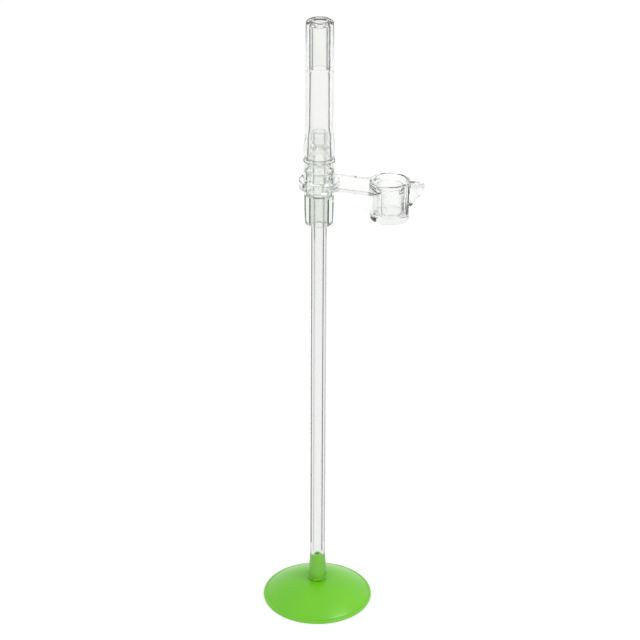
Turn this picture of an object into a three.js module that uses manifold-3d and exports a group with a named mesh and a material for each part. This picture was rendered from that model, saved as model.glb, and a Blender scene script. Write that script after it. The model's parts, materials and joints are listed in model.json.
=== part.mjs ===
// A hand-primed aquarium siphon with a standing suction foot, as an assembly of separate solids.
// Millimetres, +Z up. The foot stands on z = 0, and the tethered cap reaches out along +X.
import * as THREE from "three";
import { mergeVertices } from "three/addons/utils/BufferGeometryUtils.js";
import Module from "manifold-3d";

// Driving dimensions. Heights are above the surface that the foot stands on.
const FINE = 40; // sides of a large turned piece
const COARSE = 28; // sides of a small turned piece
const GAP = 0.3; // left between two pieces that rest on each other
const FIT = 0.15; // radial gap between a piece and the bore that it is pushed into

const DISC = {
  radius: 29.7, wall: 2.0, edge: 1.7, crown: 11.1, seat: 6.2, bearing: 2.6, heel: 0.8, fullness: 1.75,
};
const FLANGE = { inner: 27.7, step: 0.5, run: 0.3 }; // the flat margin round the dome of the disc
const WATERWAY = 1.0; // radius of the passage through the disc and its spigot
const STEM = { outer: 4.0, bore: 2.0, top: 239.4, bevel: 0.3 };
const SKIRT = { widening: 1.1, top: 28.7 }; // the stem's lower end, stretched over the spigot
const FOOT_SPIGOT = { top: 27.1, bevel: 0.4 };
const NECK = {
  bottom: 224.0, top: 258.8, upper: 8.0, lower: 7.6, toe: 4.6, toeRound: 2.5, taperTop: 234.6, // outside
  floor: 239.8, bore: 6.1, mouth: 7.4, mouthFloor: 252.9, // inside
  shoulder: 0.7, bevelHeight: 0.4, bevelDepth: 0.3,
};
const COLLAR = { inner: 7.6, outer: 10.25, bottom: 244.0, top: 248.4, round: 0.5 };
const GROOVE = { radius: 7.45, margin: 0.25 }; // in the neck, where the collar turns
const NIPPLE = { bottom: 240.2, core: 4.7, ridge: 5.9, ridges: 4, firstRidge: 241.3, pitch: 4.55, bore: 2.5 };
const RIDGE = { rise: 0.7, crest: 0.55, fall: 0.35 }; // heights of one ridge's slopes and its crest
const BARBS = {
  core: 3.95, radius: 5.05, count: 3, first: 261.2, pitch: 4.0, taper: 0.3, rise: 0.3, height: 3.3,
  top: 274.3, toe: 0.4,
};
const COLLET = { radius: 7.0, bottom: 259.1, top: 259.9 }; // the nipple's flange on the neck's mouth
const TUBE = {
  bottom: 260.2, top: 331.3, mouth: 7.55, flare: 7.9, flareAt: 264.3, waistAt: 276.6, // outside
  radius: 6.85, plugged: 6.95, bore: 4.55, flareBore: 5.35, flareBoreTop: 269.4, plugBore: 4.8, round: 1.8,
  swellStart: 3.5, boreSwellStart: 1.8, // how far below the plug the tube starts to widen, outside and inside
};
const PLUG = {
  radius: 4.62, bottom: 306.8, top: 331.1, bore: 3.3, crown: 2.4, dish: 0.2, round: 0.8, lead: 0.4, vault: 0.8,
};
const CAP = {
  x: 35.5, radius: 10.35, toe: 9.9, inner: 8.5, bottom: 226.8, top: 247.8, floor: 230.2,
  band: 241.6, bandStep: 0.25, round: 1.6, rim: 0.5, leadWidth: 0.4, leadDepth: 0.6,
};
const SEAL = {
  outer: 7.3, inner: 6.4, base: 8.2, floor: 232.0, top: 245.2, lead: 3.0, bead: 0.35,
  lipHeight: 0.8, lipOutside: 0.3, lipInside: 0.2,
};
const STRAP = {
  halfWidth: 10.25, plate: 1.8, rib: 1.3, slit: 0.3, hinge: 17.75,
  topAtCollar: 248.3, topAtCap: 244.1, start: 2.0, end: 34.0, // the top face runs downhill to the cap
};
const RIB_FOOT = [[2.0, 242.9], [8.8, 239.2], [21.5, 236.4], [29.7, 233.5], [34.0, 231.9]]; // lower edge
const CUT = { left: -5, right: 60, low: 225, high: 255 }; // a block that holds the whole tether, for cutting
const TAB = {
  tip: 53.0, root: 5.2, nose: 4.0, round: 1.5, // its outline seen from above
  top: 245.3, lip: 0.9, foot: 235.5, bend: [3.5, 239.3], // its ramp underneath, drawn towards the bend
};
const OVERLAP = 2.0; // how far a shape runs into the space that is cut away from it

// The foot and the tab are the ends of the object in X, and the origin is midway between them.
const ORIGIN_X = (TAB.tip - DISC.radius) / 2;

const wasm = await Module();
wasm.setup();

const materials = {
  greenVinyl: { color: 0x7ccb2d, roughness: 0.32, metalness: 0 },
  clearAcrylic: { color: 0xeef3ee, roughness: 0.05, metalness: 0 },
  clearVinyl: { color: 0xe6ece6, roughness: 0.15, metalness: 0 },
  milkySilicone: { color: 0xf0f2f0, roughness: 0.35, metalness: 0 },
};

function piece(name, geometry, material) {
  const mesh = new THREE.Mesh(geometry, new THREE.MeshStandardMaterial(materials[material]));
  mesh.name = name;
  return mesh;
}

// A solid turned round +Z from a closed outline of [radius, height] points.
function turned(outline, sides) {
  const points = [...outline, outline[0]].map(([radius, height]) => new THREE.Vector2(radius, height));
  return new THREE.LatheGeometry(points, sides).rotateX(Math.PI / 2);
}

// Points on an arc, angles in degrees from the +radius direction towards +height.
function arc(centreRadius, centreHeight, radius, from, to, steps) {
  return Array.from({ length: steps + 1 }, (_, i) => {
    const angle = THREE.MathUtils.degToRad(from + ((to - from) * i) / steps);
    return [centreRadius + radius * Math.cos(angle), centreHeight + radius * Math.sin(angle)];
  });
}

// Points along a formula for radius or height.
function sampled(steps, at) {
  return Array.from({ length: steps + 1 }, (_, i) => at(i / steps));
}

function smooth(t) {
  return t * t * (3 - 2 * t);
}

// A plate whose outline lies in the X-Z plane, extruded between y = -halfWidth and +halfWidth.
function upright(outline, halfWidth) {
  const shape = new THREE.Shape(outline.map(([x, z]) => new THREE.Vector2(x, z)));
  const geometry = new THREE.ExtrudeGeometry(shape, { depth: 2 * halfWidth, bevelEnabled: false });
  return geometry.rotateX(Math.PI / 2).translate(0, halfWidth, 0);
}

// A round bar along +Z through the tether, used only to cut.
function bar(x, radius) {
  const geometry = new THREE.CylinderGeometry(radius, radius, CUT.high - CUT.low, FINE);
  return geometry.rotateX(Math.PI / 2).translate(x, 0, (CUT.high + CUT.low) / 2);
}

function toSolid(geometry) {
  const bare = geometry.clone();
  bare.deleteAttribute("normal");
  bare.deleteAttribute("uv");
  const merged = mergeVertices(bare, 1e-4);
  const vertProperties = merged.attributes.position.array;
  return new wasm.Manifold(
    new wasm.Mesh({ numProp: 3, vertProperties, triVerts: new Uint32Array(merged.index.array) }),
  );
}

function toGeometry(solid) {
  const mesh = solid.getMesh();
  const geometry = new THREE.BufferGeometry();
  geometry.setAttribute("position", new THREE.BufferAttribute(mesh.vertProperties, 3));
  geometry.setIndex(new THREE.BufferAttribute(mesh.triVerts, 1));
  return geometry.toNonIndexed();
}

// Height of the disc's upper face, a shallow dome between its seat and its flange.
function domeHeight(radius) {
  const share = (radius - DISC.seat) / (FLANGE.inner - DISC.seat);
  const low = DISC.edge + FLANGE.step;
  return low + (DISC.crown - low) * (1 - Math.pow(share, DISC.fullness));
}

function suctionDisc() {
  const edge = DISC.edge / 2;
  const bearing = DISC.radius - edge - DISC.bearing;
  const top = sampled(8, (t) => {
    const radius = THREE.MathUtils.lerp(DISC.seat, FLANGE.inner, t);
    return [radius, domeHeight(radius)];
  });
  const under = sampled(6, (t) => {
    const radius = THREE.MathUtils.lerp(bearing - DISC.heel, DISC.seat, t);
    return [radius, domeHeight(radius) - DISC.wall];
  });
  const outline = [
    [WATERWAY, DISC.crown - DISC.wall],
    [WATERWAY, DISC.crown],
    ...top,
    [FLANGE.inner + FLANGE.run, DISC.edge],
    ...arc(DISC.radius - edge, edge, edge, 90, -90, 6),
    [bearing, 0],
    ...under,
  ];
  return turned(outline.reverse(), FINE);
}

// How far the stem's lower end is stretched at a height, from 0 above the skirt to its full widening.
function stretch(height) {
  const share = (SKIRT.top - height) / (SKIRT.top - DISC.crown - GAP);
  return SKIRT.widening * smooth(share) ** 0.8;
}

// The peg on the disc that the stem is pushed over.
function footSpigot() {
  const { top, bevel } = FOOT_SPIGOT;
  const bottom = DISC.crown + GAP;
  const side = sampled(6, (t) => {
    const height = bottom + (top - bevel - bottom) * t;
    return [STEM.bore + stretch(height) - FIT, height];
  });
  return turned([
    [WATERWAY, bottom],
    ...side,
    [STEM.bore - FIT - bevel, top],
    [WATERWAY, top],
  ], COARSE);
}

function stemTube() {
  const { outer, bore, top, bevel } = STEM;
  const bottom = DISC.crown + GAP;
  const skirt = sampled(7, (t) => bottom + (SKIRT.top - bottom) * t);
  return turned([
    [bore + stretch(bottom), bottom],
    ...skirt.map((height) => [outer + stretch(height), height]),
    [outer, top - bevel],
    [outer - bevel, top],
    [bore, top],
    ...skirt.slice(1).reverse().map((height) => [bore + stretch(height), height]),
  ], COARSE);
}

function neckSocket() {
  const groove = [COLLAR.bottom - GROOVE.margin, COLLAR.top + GROOVE.margin];
  return turned([
    [STEM.outer + FIT, NECK.bottom],
    ...arc(NECK.toe, NECK.bottom + NECK.toeRound, NECK.toeRound, -90, 0, 5),
    [NECK.lower, NECK.taperTop],
    [NECK.lower, groove[0]],
    [GROOVE.radius, groove[0]],
    [GROOVE.radius, groove[1]],
    [NECK.upper, groove[1] + NECK.shoulder],
    [NECK.upper, NECK.top - NECK.bevelHeight],
    [NECK.upper - NECK.bevelDepth, NECK.top],
    [NECK.mouth, NECK.top],
    [NECK.mouth, NECK.mouthFloor],
    [NECK.bore, NECK.mouthFloor],
    [NECK.bore, NECK.floor],
    [STEM.outer + FIT, NECK.floor],
  ], FINE);
}

function collarRing() {
  const { inner, outer, bottom, top, round } = COLLAR;
  return turned([
    [inner, bottom],
    ...arc(outer - round, bottom + round, round, -90, 0, 3),
    ...arc(outer - round, top - round, round, 0, 90, 3),
    [inner, top],
  ], FINE);
}

// The ridged shank in the neck, its flange, and the barbed spigot that holds the squeeze tube.
function ridgedNipple() {
  const shank = [];
  const { rise, crest, fall } = RIDGE;
  for (let i = 0; i < NIPPLE.ridges; i++) {
    const z = NIPPLE.firstRidge + i * NIPPLE.pitch;
    shank.push([NIPPLE.core, z], [NIPPLE.ridge, z + rise]);
    shank.push([NIPPLE.ridge, z + rise + crest], [NIPPLE.core, z + rise + crest + fall]);
  }
  const spigot = [];
  for (let i = 0; i < BARBS.count; i++) {
    const z = BARBS.first + i * BARBS.pitch;
    const radius = BARBS.radius - i * BARBS.taper;
    spigot.push([BARBS.core, z], [radius, z + BARBS.rise], [BARBS.core, z + BARBS.height]);
  }
  return turned([
    [NIPPLE.bore, NIPPLE.bottom],
    [NIPPLE.core, NIPPLE.bottom],
    ...shank,
    [NIPPLE.core, COLLET.bottom],
    [COLLET.radius, COLLET.bottom],
    [COLLET.radius, COLLET.top],
    [BARBS.core, COLLET.top],
    ...spigot,
    [BARBS.core - BARBS.toe, BARBS.top],
    [NIPPLE.bore, BARBS.top],
  ], COARSE);
}

function squeezeTube() {
  const { bottom, top, mouth, flare, flareAt, waistAt, radius, plugged, round } = TUBE;
  const { bore, flareBore, flareBoreTop, plugBore, swellStart, boreSwellStart } = TUBE;
  const between = (from, to, low, high) => (t) => [from + (to - from) * smooth(t), low + (high - low) * t];
  return turned([
    [flareBore, bottom],
    ...sampled(3, between(mouth, flare, bottom, flareAt)),
    ...sampled(6, between(flare, radius, flareAt, waistAt)).slice(1),
    [radius, PLUG.bottom - swellStart],
    [plugged, PLUG.bottom],
    ...arc(plugged - round, top - round, round, 0, 90, 4),
    [plugBore, top],
    [plugBore, PLUG.bottom - GAP],
    [bore, PLUG.bottom - boreSwellStart],
    ...sampled(4, between(bore, flareBore, waistAt, flareBoreTop)),
  ], FINE);
}

function endPlug() {
  const { radius, bottom, top, bore, crown, dish, round, lead, vault } = PLUG;
  return turned([
    [bore, bottom],
    [radius - lead, bottom],
    [radius, bottom + lead],
    ...arc(radius - round, top - round, round, 0, 90, 4),
    [0, top - dish],
    [0, top - crown],
    [bore, top - crown - vault],
  ], COARSE);
}

function capShell() {
  const { radius, toe, inner, bottom, top, floor, band, bandStep, round, rim, leadWidth, leadDepth } = CAP;
  return turned([
    [0, bottom],
    ...arc(toe - round, bottom + round, round, -90, 0, 4),
    [radius - bandStep, band],
    [radius, band + bandStep],
    ...arc(radius - rim, top - rim, rim, 0, 90, 2),
    [inner + leadWidth, top],
    [inner, top - leadDepth],
    [inner, floor],
    [0, floor],
  ], FINE).translate(CAP.x, 0, 0);
}

function capSeal() {
  const { outer, inner, base, floor, top, lead, bead, lipHeight, lipOutside, lipInside } = SEAL;
  const bottom = CAP.floor + GAP;
  return turned([
    [0, bottom],
    [base, bottom],
    [base, floor],
    [outer, floor],
    [outer, top - lipHeight],
    [outer - lipOutside, top],
    [inner + lipInside, top],
    [inner - bead, top - lead],
    [inner, top - lead - lipHeight],
    [inner, floor],
    [0, floor],
  ], FINE).translate(CAP.x, 0, 0);
}

// Height of the strap's upper face.
function strapTop(x) {
  const share = (x - STRAP.start) / (STRAP.end - STRAP.start);
  return THREE.MathUtils.lerp(STRAP.topAtCollar, STRAP.topAtCap, share);
}

// The whole strap: a plate with a rib under each long edge, hollowed at its ends to the collar and the cap.
function wholeStrap() {
  const { halfWidth, plate, rib, start, end } = STRAP;
  const body = toSolid(upright([[start, strapTop(start)], ...RIB_FOOT, [end, strapTop(end)]], halfWidth));
  const { left, right, low } = CUT;
  const roof = [left, right].map((x) => [x, strapTop(x) - plate]);
  const trough = upright([roof[0], [left, low], [right, low], roof[1]], halfWidth - rib);
  return body
    .subtract(toSolid(trough))
    .subtract(toSolid(bar(0, COLLAR.outer + GAP)))
    .subtract(toSolid(bar(CAP.x, CAP.radius + GAP)));
}

// One end of the strap: the part on one side of the hinge line across its middle.
function strapHalf(whole, from, to) {
  const corners = [[from, CUT.low], [to, CUT.low], [to, CUT.high], [from, CUT.high]];
  const block = upright(corners, STRAP.halfWidth + OVERLAP);
  return toGeometry(whole.intersect(toSolid(block)));
}

// The lip that a thumb lifts the cap by: a wedge that narrows to a nose, with a ramp up its underside.
function thumbTab() {
  const { tip, root, nose, round, top, lip, foot, bend } = TAB;
  const wall = CAP.x + CAP.radius;
  const inside = wall - OVERLAP;
  const plan = new THREE.Shape();
  plan.moveTo(inside, -root);
  plan.lineTo(wall, -root);
  plan.quadraticCurveTo(tip - round, -root, tip, -nose / 2);
  plan.lineTo(tip, nose / 2);
  plan.quadraticCurveTo(tip - round, root, wall, root);
  plan.lineTo(inside, root);
  const depth = CUT.high - CUT.low;
  const block = new THREE.ExtrudeGeometry(plan, { depth, bevelEnabled: false, curveSegments: 8 });
  block.translate(0, 0, CUT.low);
  const ramp = new THREE.QuadraticBezierCurve(
    new THREE.Vector2(wall, foot),
    new THREE.Vector2(wall + bend[0], bend[1]),
    new THREE.Vector2(tip, top - lip),
  );
  const lower = ramp.getPoints(8).map((p) => [p.x, p.y]);
  const beyond = tip + OVERLAP;
  const side = [[inside, foot], ...lower, [beyond, top - lip], [beyond, top], [inside, top]];
  return toGeometry(
    toSolid(block)
      .intersect(toSolid(upright(side, root + OVERLAP)))
      .subtract(toSolid(bar(CAP.x, CAP.radius + GAP))),
  );
}

function build() {
  const strap = wholeStrap();
  const { hinge, slit } = STRAP;
  const siphon = new THREE.Group();
  siphon.add(
    piece("suction_disc", suctionDisc(), "greenVinyl"),
    piece("foot_spigot", footSpigot(), "greenVinyl"),
    piece("stem_tube", stemTube(), "clearAcrylic"),
    piece("neck_socket", neckSocket(), "clearAcrylic"),
    piece("collar_ring", collarRing(), "clearVinyl"),
    piece("tether_strap_root", strapHalf(strap, CUT.left, hinge - slit / 2), "clearVinyl"),
    piece("tether_strap_end", strapHalf(strap, hinge + slit / 2, CUT.right), "clearVinyl"),
    piece("cap_shell", capShell(), "clearVinyl"),
    piece("cap_seal", capSeal(), "clearVinyl"),
    piece("thumb_tab", thumbTab(), "clearVinyl"),
    piece("ridged_nipple", ridgedNipple(), "clearAcrylic"),
    piece("squeeze_tube", squeezeTube(), "milkySilicone"),
    piece("end_plug", endPlug(), "clearAcrylic"),
  );
  siphon.position.x = -ORIGIN_X;
  return siphon;
}

export default build();
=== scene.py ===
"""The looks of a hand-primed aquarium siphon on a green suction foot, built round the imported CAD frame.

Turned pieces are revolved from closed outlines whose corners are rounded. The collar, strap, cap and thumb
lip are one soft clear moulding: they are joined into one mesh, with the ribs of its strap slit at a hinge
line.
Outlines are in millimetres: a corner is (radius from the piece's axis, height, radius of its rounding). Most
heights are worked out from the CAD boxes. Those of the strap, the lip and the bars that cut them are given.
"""

import json
import math

import bpy
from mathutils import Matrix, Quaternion, Vector


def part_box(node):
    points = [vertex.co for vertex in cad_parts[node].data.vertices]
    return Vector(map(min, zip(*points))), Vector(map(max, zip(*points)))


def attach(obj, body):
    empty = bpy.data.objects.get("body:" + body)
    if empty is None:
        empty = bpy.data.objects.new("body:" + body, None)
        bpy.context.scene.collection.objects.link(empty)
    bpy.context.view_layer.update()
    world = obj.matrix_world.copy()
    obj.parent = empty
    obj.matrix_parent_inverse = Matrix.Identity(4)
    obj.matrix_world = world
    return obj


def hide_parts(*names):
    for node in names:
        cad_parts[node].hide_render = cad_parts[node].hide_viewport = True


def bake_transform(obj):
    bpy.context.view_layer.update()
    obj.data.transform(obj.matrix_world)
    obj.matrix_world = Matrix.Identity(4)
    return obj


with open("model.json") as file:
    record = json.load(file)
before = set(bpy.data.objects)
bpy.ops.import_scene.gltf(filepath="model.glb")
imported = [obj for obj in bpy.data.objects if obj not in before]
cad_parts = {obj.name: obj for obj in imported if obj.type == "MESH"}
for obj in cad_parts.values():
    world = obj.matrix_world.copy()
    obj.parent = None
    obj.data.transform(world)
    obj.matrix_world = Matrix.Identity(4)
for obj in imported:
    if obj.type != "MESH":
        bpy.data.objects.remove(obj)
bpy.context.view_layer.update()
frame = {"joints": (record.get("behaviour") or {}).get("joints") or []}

MM = 0.001

# How finely shapes are drawn.
ARC_STEP = math.radians(11)
CORNER_STEPS = 5  # for each corner of a lofted section, so that all its sections have as many points
LONGEST_CUT = 0.48  # the most of an edge that a rounding may use up
STRAIGHT = 1e-4  # a turn, in radians, that counts as none
SHARP = 40.0  # degrees: a sharper edge of the tether isn't shaded smooth
SIDES = 128
DISC_SIDES = 192
WIDE_SIDES = 160
PEG_SIDES = 96
STEPS = {"dish": 36, "dome": 48, "peg": 24, "skirt": 30, "mouth": 10, "flare": 20, "swell": 6,
         "bore_flare": 14, "shoulder": 9, "strap": 12, "crease": 6, "lip": 28}

# Walls and details that the CAD boxes don't give, in millimetres apart from the counts, powers and shares:
# ridges, count, power, fullness, and the lip's blunting and taper.
CRISP, EASED, SOFT = 0.2, 0.3, 0.5  # the usual roundings
FIT = 0.15
WATERWAY = 1.0
CONTACT = 0.02  # how far the peg reaches into the stem's wall, so that they touch as a push fit does
WELD = 0.9  # how far the parts of the tether overlap before they are joined
TETHER_SPAN = (225.0, 255.0)  # the heights that the cutting bars run between
STEM = {"radius": 4.0, "bore": 2.0}
SKIRT = {"widening": 1.1, "top": 28.7, "power": 0.8, "lead": 0.7}
SPIGOT = {"lead": 0.6, "round": 0.4}
DISC = {"wall": 2.0, "edge": 1.7, "seat": 6.2, "flange": 27.7, "step": 0.5, "run": 0.3, "bearing": 2.6,
        "heel": 0.8, "fullness": 1.75, "lead": 0.15, "foot_round": 0.75, "rim_round": 0.8}
NECK = {"toe": 7.1, "toe_round": 2.45, "lower": 7.6, "taper": 10.6, "taper_round": 8.0, "groove": 7.45,
        "groove_margin": 0.25, "groove_round": 0.06, "shoulder": 0.7, "floor": 15.8, "bore": 6.1,
        "mouth": 7.4, "mouth_depth": 5.9, "lip_round": 0.4, "inner_round": 0.25}
NIPPLE = {"core": 4.7, "ridge": 5.9, "ridges": 4, "first": 1.1, "pitch": 4.55, "bore": 2.5, "rise": 0.7,
          "crest": 0.55, "fall": 0.35, "ridge_round": 0.25, "collet_bottom": 18.9, "collet_top": 19.7,
          "collet": 7.0, "tip_round": 0.4}
BARB = {"core": 3.95, "radius": 5.05, "count": 3, "first": 21.0, "pitch": 4.0, "taper": 0.3, "rise": 0.3,
        "height": 3.3, "round": 0.15}
TUBE = {"mouth": 7.55, "mouth_round": 0.6, "flare": 7.9, "flare_at": 4.1, "waist_at": 16.4, "radius": 6.85,
        "plugged": 6.95, "swell": 3.5, "bore": 4.55, "flare_bore": 5.35, "flare_bore_top": 9.2,
        "plug_bore": 4.8, "plug_gap": 0.3, "bore_swell": 1.8, "round": 1.8, "lip_round": 0.15}
PLUG = {"radius": 4.62, "bore": 3.3, "crown": 2.4, "dish": 0.2, "round": 0.8, "lead": 0.4, "vault": 0.8,
        "vault_round": 0.6}
CAP = {"toe": 9.9, "toe_round": 1.6, "inner": 8.5, "floor": 3.4, "band": 14.8, "step": 0.25,
       "step_round": 0.15, "mouth_round": 0.45}
SEAL = {"base": 8.2, "outer": 7.3, "inner": 6.4, "floor": 1.5, "lead": 3.0, "bead": 0.35, "bead_round": 0.6,
        "lip": 0.8, "mouth": 0.2, "rim_round": 0.35}
# The strap's two lines are given by (distance from the stem's axis, height), and so is the lip's bend.
STRAP = {"half_width": 10.25, "plate": 1.8, "rib": 1.3, "start": 0.6, "cap_overlap": 0.8,
         "foot_round": 0.45, "edge_round": 0.6, "roof_round": 0.7,
         "slit": 0.3, "slit_wall": 0.03, "hinge_web": 0.35, "close": 1.8, "wide": 2.0,
         "top": [(2.0, 248.3), (34.0, 244.1)],
         "foot": [(2.0, 242.9), (8.8, 239.2), (21.5, 236.4), (29.7, 233.5), (34.0, 231.9)]}
LIP = {"root": 5.2, "nose": 2.0, "nose_round": 0.5, "blunting": 0.9, "taper": 2.5, "thick": 0.9,
       "foot": 235.5, "top": 245.3, "bend": (49.35, 239.3)}
CUTTER_ROUND = 0.01

# Looks. A material's surface varies between dark and light, and between two values of roughness. Noises are
# given by their scale, and ripple and grain depths are in metres. Density is absorption per metre.
GREEN = {"cloud": 45.0, "grain": 2600.0, "depth": 0.00002, "rough": (0.26, 0.40), "ior": 1.5, "coat": 0.12,
         "coat_rough": 0.12}
GREEN_TINTS = {
    "green_vinyl": {"dark": (0.095, 0.430, 0.001), "light": (0.155, 0.510, 0.002)},
    # The spigot's copy is painted lighter than the foot's green: painted light, standing in for light that
    # the clear pipe round it holds back.
    "green_vinyl_painted_light": {"dark": (0.22, 0.84, 0.003), "light": (0.30, 0.91, 0.006)},
}
CLEAR = {"cloud": 90.0, "fine": 1500.0, "wave": 220.0}
ACRYLIC = {"rough": (0.0, 0.03), "ior": 1.49, "ripple": 0.00001, "squash": (1, 1, 0.1)}
GREENISH = {"dark": (0.975, 0.982, 0.972), "light": (0.992, 0.996, 0.990)}
CLEAR_LOOKS = {
    "clear_acrylic": {**ACRYLIC, **GREENISH, "absorb": (0.60, 0.72, 0.55), "density": 34.0},
    "clear_acrylic_fitting": {**ACRYLIC, **GREENISH, "absorb": (0.60, 0.68, 0.58), "density": 12.0},
    "clear_acrylic_pipe": {**ACRYLIC, "dark": (0.975, 0.980, 0.975), "light": (0.992, 0.995, 0.992),
                           "absorb": (0.50, 0.53, 0.49), "density": 76.0},
    "clear_vinyl": {"rough": (0.01, 0.05), "ior": 1.5, "ripple": 0.00002, "squash": (1, 1, 1),
                    "dark": (0.975, 0.980, 0.975), "light": (0.992, 0.994, 0.990),
                    "absorb": (0.72, 0.78, 0.70), "density": 18.0},
}
SILICONE = {"cloud": 120.0, "cloud_squash": (1, 1, 0.3), "wave": 260.0, "wave_squash": (1, 1, 0.12),
            "fine": 1800.0, "ripple": 0.00005, "dark": (0.96, 0.965, 0.955), "light": (0.985, 0.99, 0.98),
            "rough": (0.06, 0.14), "clearness": (0.91, 0.98), "ior": 1.41}

# Camera and stage: places and sizes in metres, angles in degrees, lens and sensor in millimetres. The
# camera's place is measured from the foot of the stem's axis.
CAMERA_PLACE = (0.00074, -0.95, 0.64)
TILT_DOWN = 26.35
ROLL = 0.27
LENS = 115.1
SENSOR = 36.0
CLIP = (0.1, 100.0)
SKY = 1.0
FLOOR = {"size": 60.0, "glow": 0.62, "cloud": 3.0, "dark": (0.34, 0.34, 0.34), "light": (0.36, 0.36, 0.36),
         "rough": 0.9, "specular": 0.1}
LAMPS = {"key": {"place": (1.1, -0.6, 1.5), "size": 1.0, "power": 12.0},
         "fill": {"place": (-1.3, -0.9, 0.9), "size": 1.2, "power": 1.5}}
LAMP_AIM = (0, 0, 0.12)
BOUNCES = {"all": 32, "transmission": 28, "glossy": 8, "transparent": 16}
FLAG_TURN = 62.0  # degrees from +Y, to either side
# Flags are in millimetres: a near pair, low enough to clear the cap, and a far pair for the neck. What is
# under right and left is the grey of the card on that side.
FLAG_TIERS = [
    {"distance": 48.0, "half_width": 11.2, "low": 0.0, "high": 195.0, "right": 0.02, "left": 0.60},
    {"distance": 90.0, "half_width": 21.0, "low": 130.0, "high": 350.0, "right": 0.02, "left": 0.10},
]


def box_mm(node):
    """A node's lowest and highest corners in millimetres."""
    low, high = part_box(node)
    return low / MM, high / MM


def axis_of(node):
    low, high = box_mm(node)
    return (low.x + high.x) / 2


def radius_of(node):
    low, high = box_mm(node)
    return (high.x - low.x) / 2


def heights(node):
    low, high = box_mm(node)
    return low.z, high.z


STEM_AXIS = axis_of("stem_tube")
CAP_AXIS = axis_of("cap_shell")


# ---------------------------------------------------------------- outlines


def smooth(t):
    t = min(max(t, 0.0), 1.0)
    return t * t * (3 - 2 * t)


def mix(a, b, t):
    return a + (b - a) * t


def along(points, x):
    """The height at x on a line through (x, height) points, carried on straight past its ends."""
    pairs = list(zip(points, points[1:]))
    (x0, z0), (x1, z1) = next((p for p in pairs if x <= p[1][0]), pairs[-1])
    return mix(z0, z1, (x - x0) / (x1 - x0))


def samples(count, low, high):
    """Evenly spaced values from low to high, both included."""
    return [mix(low, high, i / count) for i in range(count + 1)]


def rounded(corners, fixed_steps=None):
    """A closed outline with its corners rounded: (point, outward normal) pairs.

    A corner is (a, b, radius), and the loop runs anticlockwise. One with no radius is a point on a
    smooth curve.
    """
    made = []
    count = len(corners)
    for i, (a, b, radius) in enumerate(corners):
        here = Vector((a, b))
        before = Vector(corners[i - 1][:2]) - here
        after = Vector(corners[(i + 1) % count][:2]) - here
        back, ahead = before.normalized(), after.normalized()
        turn = math.acos(max(-1.0, min(1.0, -back.dot(ahead))))
        if radius <= 0 or turn < STRAIGHT:
            tangent = -back * after.length + ahead * before.length
            made.append((here, Vector((tangent.y, -tangent.x)).normalized()))
            continue
        reach = radius * math.tan(turn / 2)
        reach = min(reach, LONGEST_CUT * min(before.length, after.length))
        size = reach / math.tan(turn / 2)
        centre = here + (back + ahead).normalized() * size / math.cos(turn / 2)
        steps = fixed_steps or max(2, math.ceil(turn / ARC_STEP))
        side = 1 if back.cross(ahead) < 0 else -1
        first = here + back * reach - centre
        for k in range(steps + 1):
            angle = side * turn * k / steps
            arm = Vector((first.x * math.cos(angle) - first.y * math.sin(angle),
                          first.x * math.sin(angle) + first.y * math.cos(angle)))
            made.append((centre + arm, arm.normalized() * side))
    return made


def new_object(name, vertices, faces):
    mesh = bpy.data.meshes.new(name)
    mesh.from_pydata([tuple(c * MM for c in v) for v in vertices], [], faces)
    mesh.validate()
    mesh.shade_smooth()
    obj = bpy.data.objects.new(name, mesh)
    bpy.context.scene.collection.objects.link(obj)
    return obj


def revolve(name, corners, axis, sides=SIDES):
    """A closed body turned round the vertical line at x = axis, shaded by its outline's exact normals."""
    outline = rounded(corners)
    rings, vertices, normals = [], [], []
    for (radius, height), (out, up) in outline:
        on_axis = radius < 1e-6
        if on_axis:
            out, up = 0.0, math.copysign(1.0, up)
        ring = []
        for k in range(1 if on_axis else sides):
            angle = 2 * math.pi * k / sides
            ring.append(len(vertices))
            vertices.append((axis + radius * math.cos(angle), radius * math.sin(angle), height))
            normals.append((out * math.cos(angle), out * math.sin(angle), up))
        rings.append(ring)
    faces = []
    for lower, upper in zip(rings, rings[1:] + rings[:1]):
        for k in range(sides):
            quad = [lower[k % len(lower)], lower[(k + 1) % sides % len(lower)],
                    upper[(k + 1) % sides % len(upper)], upper[k % len(upper)]]
            face = list(dict.fromkeys(quad))
            if len(face) > 2:
                faces.append(face)
    obj = new_object(name, vertices, faces)
    obj.data.normals_split_custom_set_from_vertices(normals)
    return obj


def loft(name, stations):
    """A closed body through upright sections: (x, corners in y and z), with equal numbers of corners."""
    vertices, faces = [], []
    for x, corners in stations:
        section = [point for point, _ in rounded(corners, fixed_steps=CORNER_STEPS)]
        size = len(section)
        vertices += [(x, y, z) for y, z in section]
    for i in range(len(stations) - 1):
        for k in range(size):
            following = (k + 1) % size
            faces.append([i * size + k, i * size + following, (i + 1) * size + following, (i + 1) * size + k])
    faces.append(list(range(size))[::-1])
    faces.append([(len(stations) - 1) * size + k for k in range(size)])
    return new_object(name, vertices, faces)


# ---------------------------------------------------------------- pieces


def stretch(height):
    """How far the stem's lower end is stretched outwards at a height."""
    bottom = heights("stem_tube")[0]
    share = smooth((SKIRT["top"] - height) / (SKIRT["top"] - bottom))
    return SKIRT["widening"] * share ** SKIRT["power"]


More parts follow.
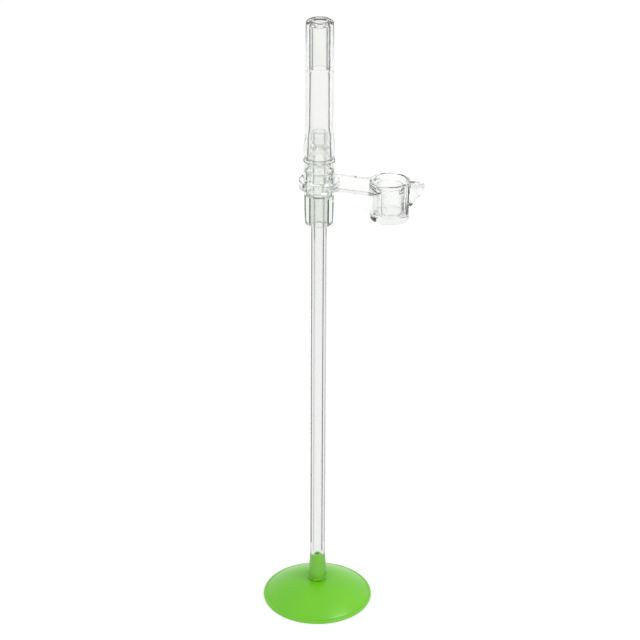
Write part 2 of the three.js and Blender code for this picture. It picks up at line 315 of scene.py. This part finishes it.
def suction_disc():
    radius, crown = radius_of("suction_disc"), heights("suction_disc")[1]
    edge, seat, flange = DISC["edge"], DISC["seat"], DISC["flange"]
    rim = edge + DISC["step"]

    def dome(r):
        share = max(r - seat, 0) / (flange - seat)
        return rim + (crown - rim) * (1 - share ** DISC["fullness"])

    bearing = radius - edge / 2 - DISC["bearing"]
    under = [(r, dome(r) - DISC["wall"], 0) for r in samples(STEPS["dish"], seat, bearing - DISC["heel"])]
    top = [(r, dome(r), 0) for r in samples(STEPS["dome"], flange - DISC["lead"], seat)]
    corners = [(WATERWAY, crown - DISC["wall"], CRISP), *under, (bearing, 0, SOFT),
               (radius, 0, DISC["foot_round"]), (radius, edge, DISC["rim_round"]),
               (flange + DISC["run"], edge, SOFT), *top, (WATERWAY, crown, CRISP)]
    return revolve("suction_disc_moulding", corners, STEM_AXIS, DISC_SIDES)


def foot_spigot():
    bottom, top = heights("suction_disc")[1], heights("foot_spigot")[1]
    side = [(STEM["bore"] + stretch(h) + CONTACT, h, 0)
            for h in samples(STEPS["peg"], bottom, top - SPIGOT["lead"])]
    corners = [(WATERWAY, bottom, 0), *side, (STEM["bore"] - FIT, top, SPIGOT["round"]),
               (WATERWAY, top, CRISP)]
    return revolve("spigot_moulding", corners, STEM_AXIS, PEG_SIDES)


def stem_tube():
    bottom, top = heights("stem_tube")
    radius, bore, spread = STEM["radius"], STEM["bore"], stretch(bottom)
    skirt = samples(STEPS["skirt"], bottom + SKIRT["lead"], SKIRT["top"])
    outside = [(radius + stretch(h), h, 0) for h in skirt]
    inside = [(bore + stretch(h), h, 0) for h in reversed(skirt)]
    corners = [(bore + spread, bottom, EASED), (radius + spread, bottom, SOFT), *outside,
               (radius, top, EASED), (bore, top, CRISP), *inside]
    return revolve("stem_pipe", corners, STEM_AXIS)


def neck_socket():
    bottom, top = heights("neck_socket")
    radius, fit = radius_of("neck_socket"), STEM["radius"] + FIT
    collar_bottom, collar_top = heights("collar_ring")
    groove_low, groove_high = collar_bottom - NECK["groove_margin"], collar_top + NECK["groove_margin"]
    floor, mouth_floor = bottom + NECK["floor"], top - NECK["mouth_depth"]
    corners = [
        (fit, bottom, NECK["inner_round"]),
        (NECK["toe"], bottom, NECK["toe_round"]),
        (NECK["lower"], bottom + NECK["taper"], NECK["taper_round"]),
        (NECK["lower"], groove_low, NECK["groove_round"]),
        (NECK["groove"], groove_low, NECK["groove_round"]),
        (NECK["groove"], groove_high, EASED),
        (radius, groove_high + NECK["shoulder"], SOFT),
        (radius, top, NECK["lip_round"]),
        (NECK["mouth"], top, NECK["inner_round"]),
        (NECK["mouth"], mouth_floor, EASED),
        (NECK["bore"], mouth_floor, EASED),
        (NECK["bore"], floor, SOFT),
        (fit, floor, CRISP),
    ]
    return revolve("neck_moulding", corners, STEM_AXIS, WIDE_SIDES)


def ridged_nipple():
    bottom, top = heights("ridged_nipple")
    core, ridge, soft = NIPPLE["core"], NIPPLE["ridge"], NIPPLE["ridge_round"]
    shank = []
    for i in range(NIPPLE["ridges"]):
        z = bottom + NIPPLE["first"] + i * NIPPLE["pitch"]
        crest = z + NIPPLE["rise"] + NIPPLE["crest"]
        shank += [(core, z, soft), (ridge, z + NIPPLE["rise"], soft), (ridge, crest, CRISP),
                  (core, crest + NIPPLE["fall"], soft)]
    spigot = []
    for i in range(BARB["count"]):
        z = bottom + BARB["first"] + i * BARB["pitch"]
        radius = BARB["radius"] - i * BARB["taper"]
        spigot += [(BARB["core"], z, BARB["round"]), (radius, z + BARB["rise"], BARB["round"]),
                   (BARB["core"], z + BARB["height"], EASED)]
    low, high = bottom + NIPPLE["collet_bottom"], bottom + NIPPLE["collet_top"]
    corners = [(NIPPLE["bore"], bottom, CRISP), (core, bottom, EASED), *shank, (core, low, EASED),
               (NIPPLE["collet"], low, EASED), (NIPPLE["collet"], high, EASED), (BARB["core"], high, EASED),
               *spigot, (BARB["core"], top, NIPPLE["tip_round"]), (NIPPLE["bore"], top, CRISP)]
    return revolve("nipple_moulding", corners, STEM_AXIS)


def squeeze_tube():
    bottom, top = heights("squeeze_tube")
    plug = heights("end_plug")[0]
    flare, waist = bottom + TUBE["flare_at"], bottom + TUBE["waist_at"]

    def blended(low, high, from_radius, to_radius, steps):
        return [(mix(from_radius, to_radius, smooth((h - low) / (high - low))), h, 0)
                for h in samples(STEPS[steps], low, high)]

    # The mouth's rounding takes the place of the first two points, and the next stretch starts with the last.
    outside = blended(bottom, flare, TUBE["mouth"], TUBE["flare"], "mouth")[2:-1]
    outside += blended(flare, waist, TUBE["flare"], TUBE["radius"], "flare")
    outside += blended(plug - TUBE["swell"], plug, TUBE["radius"], TUBE["plugged"], "swell")
    inside = blended(bottom + TUBE["flare_bore_top"], waist, TUBE["flare_bore"], TUBE["bore"], "bore_flare")
    inside += blended(plug - TUBE["bore_swell"], plug - TUBE["plug_gap"], TUBE["bore"], TUBE["plug_bore"],
                      "swell")
    rounding = TUBE["round"]
    shoulder = [(TUBE["plugged"] - rounding * (1 - math.cos(a)), top - rounding * (1 - math.sin(a)), 0)
                for a in samples(STEPS["shoulder"], 0, math.pi / 2)]
    corners = [(TUBE["flare_bore"], bottom, SOFT), (TUBE["mouth"], bottom, TUBE["mouth_round"]), *outside,
               *shoulder, (TUBE["plug_bore"], top, TUBE["lip_round"]), *reversed(inside)]
    return revolve("squeeze_pipe", corners, STEM_AXIS, WIDE_SIDES)


def end_plug():
    bottom, top = heights("end_plug")
    radius, bore, crown = PLUG["radius"], PLUG["bore"], top - PLUG["crown"]
    corners = [(bore, bottom, CRISP), (radius, bottom, PLUG["lead"]), (radius, top, PLUG["round"]),
               (0, top - PLUG["dish"], 0), (0, crown, 0), (bore, crown - PLUG["vault"], PLUG["vault_round"])]
    return revolve("plug_moulding", corners, STEM_AXIS)


def cap_seal():
    bottom, top = heights("cap_seal")
    floor, lead = bottom + SEAL["floor"], top - SEAL["lead"]
    base, outer, inner = SEAL["base"], SEAL["outer"], SEAL["inner"]
    corners = [(0, bottom, 0), (base, bottom, EASED), (base, floor, EASED), (outer, floor, EASED),
               (outer, top, SEAL["rim_round"]), (inner + SEAL["mouth"], top, CRISP),
               (inner - SEAL["bead"], lead, SEAL["bead_round"]), (inner, lead - SEAL["lip"], SOFT),
               (inner, floor, SOFT), (0, floor, 0)]
    return revolve("cap_liner", corners, CAP_AXIS)


def collar_ring():
    bottom, top = heights("collar_ring")
    inner, outer = NECK["lower"], radius_of("collar_ring")
    corners = [(inner, bottom, EASED), (outer, bottom, SOFT), (outer, top, SOFT), (inner, top, EASED)]
    return revolve("collar", corners, STEM_AXIS)


def cap_shell():
    bottom, top = heights("cap_shell")
    radius, inner, step = radius_of("cap_shell"), CAP["inner"], CAP["step"]
    floor, band = bottom + CAP["floor"], bottom + CAP["band"]
    corners = [(0, bottom, 0), (CAP["toe"], bottom, CAP["toe_round"]),
               (radius - step, band, CAP["step_round"]), (radius, band + step, CAP["step_round"]),
               (radius, top, SOFT), (inner, top, CAP["mouth_round"]), (inner, floor, SOFT), (0, floor, 0)]
    return revolve("cap", corners, CAP_AXIS)


def strap_section(x, foot):
    """The channel's section: a plate with a rib under each long edge. x is measured from the stem's axis."""
    top, half = along(STRAP["top"], x), STRAP["half_width"]
    roof, inside = top - STRAP["plate"], half - STRAP["rib"]
    foot_round, edge_round, roof_round = STRAP["foot_round"], STRAP["edge_round"], STRAP["roof_round"]
    return [(half, foot, foot_round), (half, top, edge_round), (-half, top, edge_round),
            (-half, foot, foot_round), (-inside, foot, foot_round), (-inside, roof, roof_round),
            (inside, roof, roof_round), (inside, foot, foot_round)]


def strap(hinge, start, end):
    """The whole strap. Its ribs are slit at the hinge, and its sections are closest together there."""
    slit_from, slit_to = hinge - STRAP["slit"] / 2, hinge + STRAP["slit"] / 2
    close, wide, wall = STRAP["close"], STRAP["wide"], STRAP["slit_wall"]
    notch = [slit_from + wall, hinge, slit_to - wall]
    places = samples(STEPS["strap"], start, slit_from - wide)
    places += samples(STEPS["crease"], slit_from - close, slit_from)
    places += notch + samples(STEPS["crease"], slit_to, slit_to + close)
    places += samples(STEPS["strap"], slit_to + wide, end)
    stations = []
    for x in places:
        foot = along(STRAP["foot"], x)
        if x in notch:
            foot = along(STRAP["top"], x) - STRAP["plate"] - STRAP["hinge_web"]
        stations.append((STEM_AXIS + x, strap_section(x, foot)))
    return loft("strap", stations)


def thumb_lip(wall, tip):
    """A wedge that narrows to a round nose, with a ramp up its underside."""
    bend, nose_round, top = LIP["bend"], LIP["nose_round"], LIP["top"]
    stations = [(wall - WELD, LIP["foot"], top, LIP["root"])]
    for t in samples(STEPS["lip"], 0, 1):
        x = (1 - t) ** 2 * wall + 2 * t * (1 - t) * bend[0] + t * t * tip
        low = (1 - t) ** 2 * LIP["foot"] + 2 * t * (1 - t) * bend[1] + t * t * (top - LIP["thick"])
        share = (x - wall) / (tip - wall)
        half = mix(LIP["root"], LIP["nose"], share ** LIP["taper"])
        depth = max(nose_round - (tip - x), 0)
        inset = nose_round - math.sqrt(max(nose_round ** 2 - depth ** 2, 0))
        blunt = inset * LIP["blunting"]
        stations.append((x, low + blunt, top - blunt, half - inset))
    return loft("thumb_lip", [
        (STEM_AXIS + x, [(half, low, SOFT), (half, high, SOFT), (-half, high, SOFT), (-half, low, SOFT)])
        for x, low, high, half in stations
    ])


def cut_bar(x, radius):
    low, high = TETHER_SPAN
    corners = [(0, low, 0), (radius, low, CUTTER_ROUND), (radius, high, CUTTER_ROUND), (0, high, 0)]
    return revolve("cutter", corners, x, SIDES)


def merge(base, other, operation):
    """Joins other to base, or cuts it away, and removes other."""
    modifier = base.modifiers.new(operation.lower(), "BOOLEAN")
    modifier.operation = operation
    modifier.object = other
    modifier.solver = "EXACT"
    evaluated = base.evaluated_get(bpy.context.evaluated_depsgraph_get())
    mesh = bpy.data.meshes.new_from_object(evaluated)
    base.modifiers.clear()
    base.data = mesh
    bpy.data.objects.remove(other)
    return base


def soft_tether():
    """Collar, strap, cap and thumb lip as one moulding, and how far its hinge is from the stem's axis."""
    joint = next(j for j in frame["joints"] if j["name"] == "cap_fold")
    hinge = joint["pos_m"][0] / MM - STEM_AXIS
    cap_x = CAP_AXIS - STEM_AXIS
    cap_radius = radius_of("cap_shell")
    tip = box_mm("thumb_tab")[1].x - STEM_AXIS
    body = strap(hinge, STRAP["start"], cap_x - STRAP["cap_overlap"])
    merge(body, cut_bar(STEM_AXIS, radius_of("collar_ring") - WELD), "DIFFERENCE")
    lip = thumb_lip(cap_x + cap_radius, tip)
    merge(body, lip, "UNION")
    merge(body, cut_bar(CAP_AXIS, cap_radius - WELD), "DIFFERENCE")
    merge(body, collar_ring(), "UNION")
    merge(body, cap_shell(), "UNION")
    body.name = "tether_moulding"
    body.data.name = "tether_moulding"
    body.data.shade_smooth()
    body.data.set_sharp_from_angle(angle=math.radians(SHARP))
    evened = body.modifiers.new("even_normals", "WEIGHTED_NORMAL")
    evened.keep_sharp = True
    return body, hinge


# ---------------------------------------------------------------- materials


def node(tree, kind, inputs=None, **settings):
    made = tree.nodes.new(kind)
    for key, value in settings.items():
        setattr(made, key, value)
    for key, value in (inputs or {}).items():
        if isinstance(value, bpy.types.NodeSocket):
            tree.links.new(value, made.inputs[key])
        else:
            made.inputs[key].default_value = value
    return made


def noise(tree, scale, detail=2.0, squash=(1, 1, 1)):
    """A noise value in object space, with features about 1/scale metres across. Squash draws them out."""
    place = node(tree, "ShaderNodeTexCoord").outputs["Object"]
    mapped = node(tree, "ShaderNodeMapping", {"Vector": place, "Scale": squash}).outputs["Vector"]
    texture = node(tree, "ShaderNodeTexNoise", {"Vector": mapped, "Scale": scale, "Detail": detail})
    return texture.outputs["Fac"]


def ranged(tree, value, low, high):
    return node(tree, "ShaderNodeMapRange", {"Value": value, "To Min": low, "To Max": high}).outputs["Result"]


def tinted(tree, value, look):
    """A look's dark and light, mixed. Counted from 0, a Mix node's colours are inputs 6, 7 and output 2."""
    mixed = node(tree, "ShaderNodeMix", {"Factor": value}, data_type="RGBA")
    for index, colour in ((6, look["dark"]), (7, look["light"])):
        mixed.inputs[index].default_value = (*colour, 1)
    return mixed.outputs[2]


def bumped(tree, height, depth):
    bump = node(tree, "ShaderNodeBump", {"Height": height, "Distance": depth, "Strength": 1.0})
    return bump.outputs["Normal"]


def blank(name):
    material = bpy.data.materials.new(name)
    material.use_nodes = True
    return material, material.node_tree, material.node_tree.nodes["Principled BSDF"]


def green_vinyl(name):
    material, tree, shader = blank(name)
    cloud = noise(tree, GREEN["cloud"], detail=3.0)
    grain = noise(tree, GREEN["grain"])
    tree.links.new(tinted(tree, cloud, GREEN_TINTS[name]), shader.inputs["Base Color"])
    tree.links.new(ranged(tree, grain, *GREEN["rough"]), shader.inputs["Roughness"])
    tree.links.new(bumped(tree, grain, GREEN["depth"]), shader.inputs["Normal"])
    shader.inputs["IOR"].default_value = GREEN["ior"]
    shader.inputs["Coat Weight"].default_value = GREEN["coat"]
    shader.inputs["Coat Roughness"].default_value = GREEN["coat_rough"]
    return material


def clear_plastic(name):
    """Clear plastic: a faint uneven tint, fine roughness, a ripple in its surface and a tint with depth."""
    look = CLEAR_LOOKS[name]
    material, tree, shader = blank(name)
    cloud = noise(tree, CLEAR["cloud"], squash=look["squash"])
    fine = noise(tree, CLEAR["fine"])
    wave = noise(tree, CLEAR["wave"], detail=1.0, squash=look["squash"])
    tree.links.new(tinted(tree, cloud, look), shader.inputs["Base Color"])
    tree.links.new(ranged(tree, fine, *look["rough"]), shader.inputs["Roughness"])
    tree.links.new(bumped(tree, wave, look["ripple"]), shader.inputs["Normal"])
    shader.inputs["IOR"].default_value = look["ior"]
    shader.inputs["Transmission Weight"].default_value = 1.0
    depth = {"Color": (*look["absorb"], 1), "Density": look["density"]}
    volume = node(tree, "ShaderNodeVolumeAbsorption", depth)
    tree.links.new(volume.outputs["Volume"], tree.nodes["Material Output"].inputs["Volume"])
    return material


def milky_silicone():
    """Soft translucent tube, milkiest at its mouth and clearer towards its top."""
    material, tree, shader = blank("milky_silicone")
    cloud = noise(tree, SILICONE["cloud"], detail=3.0, squash=SILICONE["cloud_squash"])
    wave = noise(tree, SILICONE["wave"], detail=1.0, squash=SILICONE["wave_squash"])
    fine = noise(tree, SILICONE["fine"])
    tree.links.new(tinted(tree, cloud, SILICONE), shader.inputs["Base Color"])
    tree.links.new(ranged(tree, fine, *SILICONE["rough"]), shader.inputs["Roughness"])
    tree.links.new(bumped(tree, wave, SILICONE["ripple"]), shader.inputs["Normal"])
    low, high = heights("squeeze_tube")
    milkiest, clearest = SILICONE["clearness"]
    place = node(tree, "ShaderNodeTexCoord").outputs["Object"]
    height = node(tree, "ShaderNodeSeparateXYZ", {"Vector": place}).outputs["Z"]
    clearness = node(tree, "ShaderNodeMapRange", {
        "Value": height, "From Min": low * MM, "From Max": high * MM, "To Min": milkiest, "To Max": clearest,
    })
    tree.links.new(clearness.outputs["Result"], shader.inputs["Transmission Weight"])
    shader.inputs["IOR"].default_value = SILICONE["ior"]
    return material


def floor_material():
    """A light table: it glows evenly, so that it stays just white near the lamps and far from them."""
    material, tree, shader = blank("studio_floor")
    cloud = noise(tree, FLOOR["cloud"])
    tree.links.new(tinted(tree, cloud, FLOOR), shader.inputs["Base Color"])
    shader.inputs["Emission Color"].default_value = (1, 1, 1, 1)
    shader.inputs["Emission Strength"].default_value = FLOOR["glow"]
    shader.inputs["Roughness"].default_value = FLOOR["rough"]
    shader.inputs["Specular IOR Level"].default_value = FLOOR["specular"]
    return material


# ---------------------------------------------------------------- stage


def studio():
    bpy.ops.mesh.primitive_plane_add(size=FLOOR["size"])
    floor = bpy.context.object
    floor.name = "floor"
    floor.data.materials.append(floor_material())
    world = bpy.data.worlds.new("studio")
    world.use_nodes = True
    bpy.context.scene.world = world
    background = world.node_tree.nodes["Background"]
    background.inputs["Color"].default_value = (1.0, 1.0, 1.0, 1)
    background.inputs["Strength"].default_value = SKY
    for name, facts in LAMPS.items():
        lamp(name, **facts)
    for tier in FLAG_TIERS:
        for side in ("right", "left"):
            flag(side, tier)


def flag(side, tier):
    """A card behind the object, to one side, which gives its clear edges something darker to show.

    Only light that passes through clear plastic sees it.
    """
    angle = math.radians(FLAG_TURN) * (1 if side == "right" else -1)
    outward = Vector((math.sin(angle), math.cos(angle), 0))
    across = Vector((outward.y, -outward.x, 0)) * tier["half_width"]
    middle = Vector((STEM_AXIS, 0, 0)) + outward * tier["distance"]
    low, high = Vector((0, 0, tier["low"])), Vector((0, 0, tier["high"]))
    corners = [middle - across + low, middle + across + low, middle + across + high, middle - across + high]
    mesh = bpy.data.meshes.new("flag")
    mesh.from_pydata([c * MM for c in corners], [], [(0, 1, 2, 3)])
    card = bpy.data.objects.new("flag_%s_%d" % (side, tier["distance"]), mesh)
    bpy.context.scene.collection.objects.link(card)
    material, _, shader = blank("flag")
    shade = tier[side]
    shader.inputs["Base Color"].default_value = (shade, shade, shade, 1)
    shader.inputs["Roughness"].default_value = 1.0
    mesh.materials.append(material)
    card.visible_camera = False
    card.visible_diffuse = False
    card.visible_glossy = False
    card.visible_shadow = False


def lamp(name, place, size, power):
    data = bpy.data.lights.new(name, "AREA")
    data.shape = "DISK"
    data.size = size
    data.energy = power
    obj = bpy.data.objects.new(name, data)
    obj.location = place
    obj.rotation_mode = "QUATERNION"
    obj.rotation_quaternion = (Vector(LAMP_AIM) - Vector(place)).to_track_quat("-Z", "Y")
    bpy.context.scene.collection.objects.link(obj)


def camera():
    data = bpy.data.cameras.new("camera")
    data.sensor_width = SENSOR
    data.lens = LENS
    data.clip_start, data.clip_end = CLIP
    obj = bpy.data.objects.new("camera", data)
    obj.location = Vector((STEM_AXIS * MM, 0, 0)) + Vector(CAMERA_PLACE)
    obj.rotation_mode = "QUATERNION"
    level = Quaternion((1, 0, 0), math.radians(90 - TILT_DOWN))
    obj.rotation_quaternion = level @ Quaternion((0, 0, 1), math.radians(ROLL))
    bpy.context.scene.collection.objects.link(obj)
    bpy.context.scene.camera = obj


def finish_piece(obj, material, body, slot, *nodes):
    """Gives a piece its material, hangs it under its body and hides the CAD nodes that it stands for. One
    with no body is left unattached.
    """
    obj.data.materials.clear()
    obj.data.materials.append(material)
    if body:
        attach(obj, body)
    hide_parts(*nodes)


def main():
    # The spigot's lighter copy of the green vinyl is painted light, for the clear pipe that shades it.
    green, painted_light_green = green_vinyl("green_vinyl"), green_vinyl("green_vinyl_painted_light")
    acrylic, fitting = clear_plastic("clear_acrylic"), clear_plastic("clear_acrylic_fitting")
    pipe, vinyl = clear_plastic("clear_acrylic_pipe"), clear_plastic("clear_vinyl")
    silicone = milky_silicone()
    finish_piece(suction_disc(), green, "foot", "green_vinyl", "suction_disc")
    finish_piece(foot_spigot(), painted_light_green, "foot", "green_vinyl", "foot_spigot")
    finish_piece(stem_tube(), pipe, "stem", "clear_acrylic", "stem_tube")
    finish_piece(neck_socket(), acrylic, "stem", "clear_acrylic", "neck_socket")
    finish_piece(ridged_nipple(), fitting, "nipple", "clear_acrylic", "ridged_nipple")
    finish_piece(squeeze_tube(), silicone, "tube", "milky_silicone", "squeeze_tube")
    finish_piece(end_plug(), fitting, "stopper", "clear_acrylic", "end_plug")
    finish_piece(cap_seal(), vinyl, "cap", "clear_vinyl", "cap_seal")
    tether, hinge = soft_tether()
    finish_piece(tether, vinyl, None, "clear_vinyl", "collar_ring", "tether_strap_root", "tether_strap_end",
                 "cap_shell", "thumb_tab")
    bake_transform(tether)
    studio()
    camera()
    scene = bpy.context.scene
    scene.view_settings.view_transform = "Standard"
    scene.cycles.max_bounces = BOUNCES["all"]
    scene.cycles.transmission_bounces = BOUNCES["transmission"]
    scene.cycles.glossy_bounces = BOUNCES["glossy"]
    scene.cycles.transparent_max_bounces = BOUNCES["transparent"]


main()
